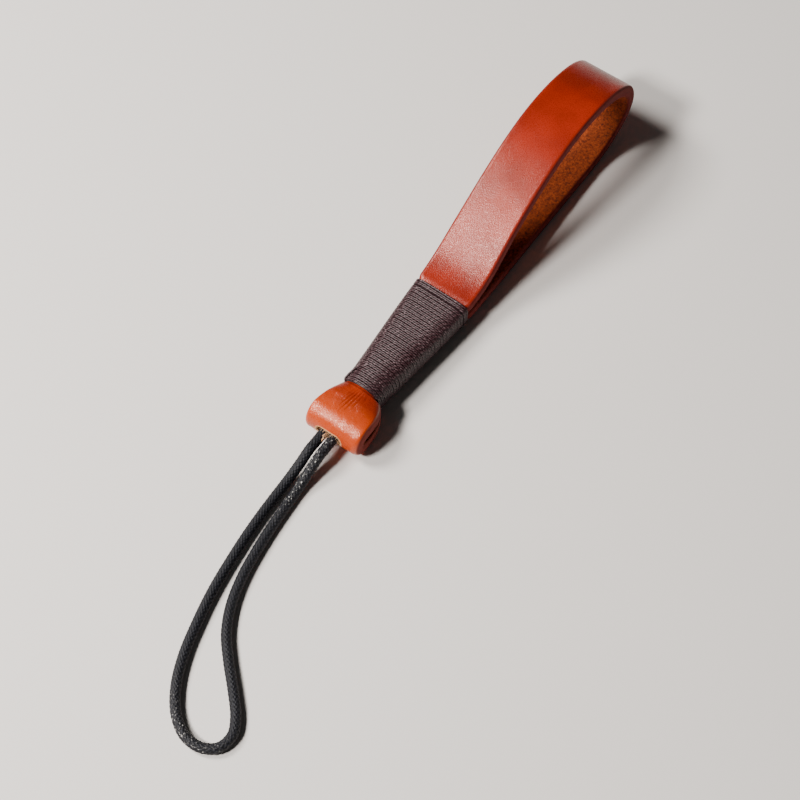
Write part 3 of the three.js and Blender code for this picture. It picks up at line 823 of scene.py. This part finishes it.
foldEnd.modifiers.clear()
foldEnd.data = cutMesh
bpy.data.objects.remove(cutter)
# the leather the punch cut through is raw
for vertex, raw in zip(cutMesh.vertices, cutMesh.attributes["rawCut"].data):
    x, y, z = (value / mm for value in vertex.co)
    fromCentre = math.hypot(max(0, abs(y) - slot["halfStraight"]), z - fold["middleZ"])
    raw.value = 1.0 if x < slot["to"] and fromCentre < slot["radius"] + slot["rawRim"] else 0.0
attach(foldEnd, "binding")
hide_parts("end_fold")
print("folded end shaped and slotted,", len(cutMesh.vertices), "points")


# loose fibres round the slot
fibres = {
    "count": 130, "sides": 5, "spacing": 0.12, "taper": 0.6, "thin": 0.035, "thick": 0.075,
    "shortest": 0.5, "longest": 1.5, "deepestRoot": -73.2, "outerRoot": -74.1, "curlThickness": 0.13, "curlRise": 0.8,
}
# curled threads between the two legs of the cord: lift, reach, and places across at the start and the end
curls = [(0.9, 2.2, -0.2, 0.5), (1.3, 1.7, 0.3, -0.5), (1.55, 1.3, 0.1, 0.9), (1.2, 2.6, 0.0, -0.2)]
fibrePoints, fibreFaces = [], []


def addFibre(line, thickness):
    line, _ = evenly(throughPoints(line, 6), fibres["spacing"])
    _, across, upward = acrossLine(line, (0.1, 0.3, 1.0))
    first = len(fibrePoints)
    for i, centre in enumerate(line):
        taper = thickness * (1 - fibres["taper"] * i / (len(line) - 1))
        for k in range(fibres["sides"]):
            angle = 2 * math.pi * k / fibres["sides"]
            fibrePoints.append(centre + taper * (math.cos(angle) * across[i] + math.sin(angle) * upward[i]))
    fibreFaces.extend(ringFaces(len(line), fibres["sides"], first=first))


for _ in range(fibres["count"]):
    place = random.uniform(0, 2 * math.pi)
    y = math.copysign(slot["halfStraight"], math.cos(place)) + slot["radius"] * math.cos(place)
    if abs(math.cos(place)) < 0.8 and random.random() < 0.6:
        y = random.uniform(-slot["halfStraight"], slot["halfStraight"])
        place = math.copysign(math.pi / 2, math.sin(place))
    z = fold["middleZ"] + slot["radius"] * math.sin(place)
    start = np.array([random.uniform(fibres["outerRoot"], fibres["deepestRoot"]), y, z])
    length = random.uniform(fibres["shortest"], fibres["longest"])
    inward = np.array([0, -math.cos(place), -math.sin(place)])
    heading = np.array([-1.0, random.uniform(-0.4, 0.4), random.uniform(-0.3, 0.5)])
    heading = heading + inward * random.uniform(-0.5, 0.35)
    heading /= np.linalg.norm(heading)
    bendAway = np.array([0, random.uniform(-0.4, 0.4), random.uniform(-0.4, 0.4)])
    addFibre([start, start + heading * length * 0.5 + bendAway * 0.2, start + heading * length + bendAway * 0.5],
             random.uniform(fibres["thin"], fibres["thick"]))
for lift, reach, startY, endY in curls:
    rootZ = fold["middleZ"] + fibres["curlRise"]
    addFibre([np.array([-73.6, startY, rootZ]), np.array([-74.8 - reach * 0.5, startY + 0.15, rootZ + lift]),
              np.array([-74.9 - reach, mix(startY, endY, 0.5), rootZ + lift * 0.9]),
              np.array([-74.7 - reach * 0.6, endY, rootZ + lift * 0.4]),
              np.array([-73.8, endY, rootZ - 0.1])], fibres["curlThickness"])
slotFibres = makeObject("slot_fibres", np.array(fibrePoints), fibreFaces, {}, fibreMaterial)
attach(slotFibres, "binding")
print("fibres laid")


# floor and light: a plain pale surface, a broad soft light high on the far side, a smaller one that the
# sloping leather mirrors, and a weak fill
floorLook = {"colour": "#e6e2de", "roughness": 0.9, "specular": 0.2, "halfSize": 3}
floorMaterial, _, _ = newMaterial("pale_floor", {
    "Base Color": toLinear(floorLook["colour"]), "Roughness": floorLook["roughness"],
    "Specular IOR Level": floorLook["specular"]})
reach = floorLook["halfSize"]
floorMesh = bpy.data.meshes.new("floor")
floorMesh.from_pydata([(-reach, -reach, 0), (reach, -reach, 0), (reach, reach, 0), (-reach, reach, 0)], [],
                      [(0, 1, 2, 3)])
floorMesh.materials.append(floorMaterial)
floor = bpy.data.objects.new("floor", floorMesh)
bpy.context.scene.collection.objects.link(floor)

lights = {
    "key": {"towards": (-0.24, 0.62, 0.75), "distance": 0.9, "size": 0.26, "power": 9.8, "colour": "#fffaf5"},
    "glint": {"towards": (-0.62, 0.30, 0.725), "distance": 0.9, "size": 0.15, "power": 11.0, "colour": "#fffaf5"},
    "sky": {"towards": (-0.45, 0.55, 0.70), "distance": 1.2, "size": 0.8, "power": 0.9, "colour": "#f6f8ff"},
}
worldLook = {"colour": "#eceae8", "strength": 0.04}
target = Vector((-0.02, 0, 0.01))
for lightName, light in lights.items():
    lightData = bpy.data.lights.new(lightName, "AREA")
    lightData.shape = "SQUARE"
    lightData.size = light["size"]
    lightData.energy = light["power"]
    lightData.color = toLinear(light["colour"])[:3]
    lightObject = bpy.data.objects.new(lightName, lightData)
    direction = Vector(light["towards"]).normalized()
    lightObject.location = target + direction * light["distance"]
    lightObject.rotation_euler = (-direction).to_track_quat("-Z", "Y").to_euler()
    bpy.context.scene.collection.objects.link(lightObject)
world = bpy.data.worlds.new("studio")
world.use_nodes = True
background = world.node_tree.nodes["Background"]
background.inputs["Color"].default_value = toLinear(worldLook["colour"])
background.inputs["Strength"].default_value = worldLook["strength"]
bpy.context.scene.world = world
print("lights set")
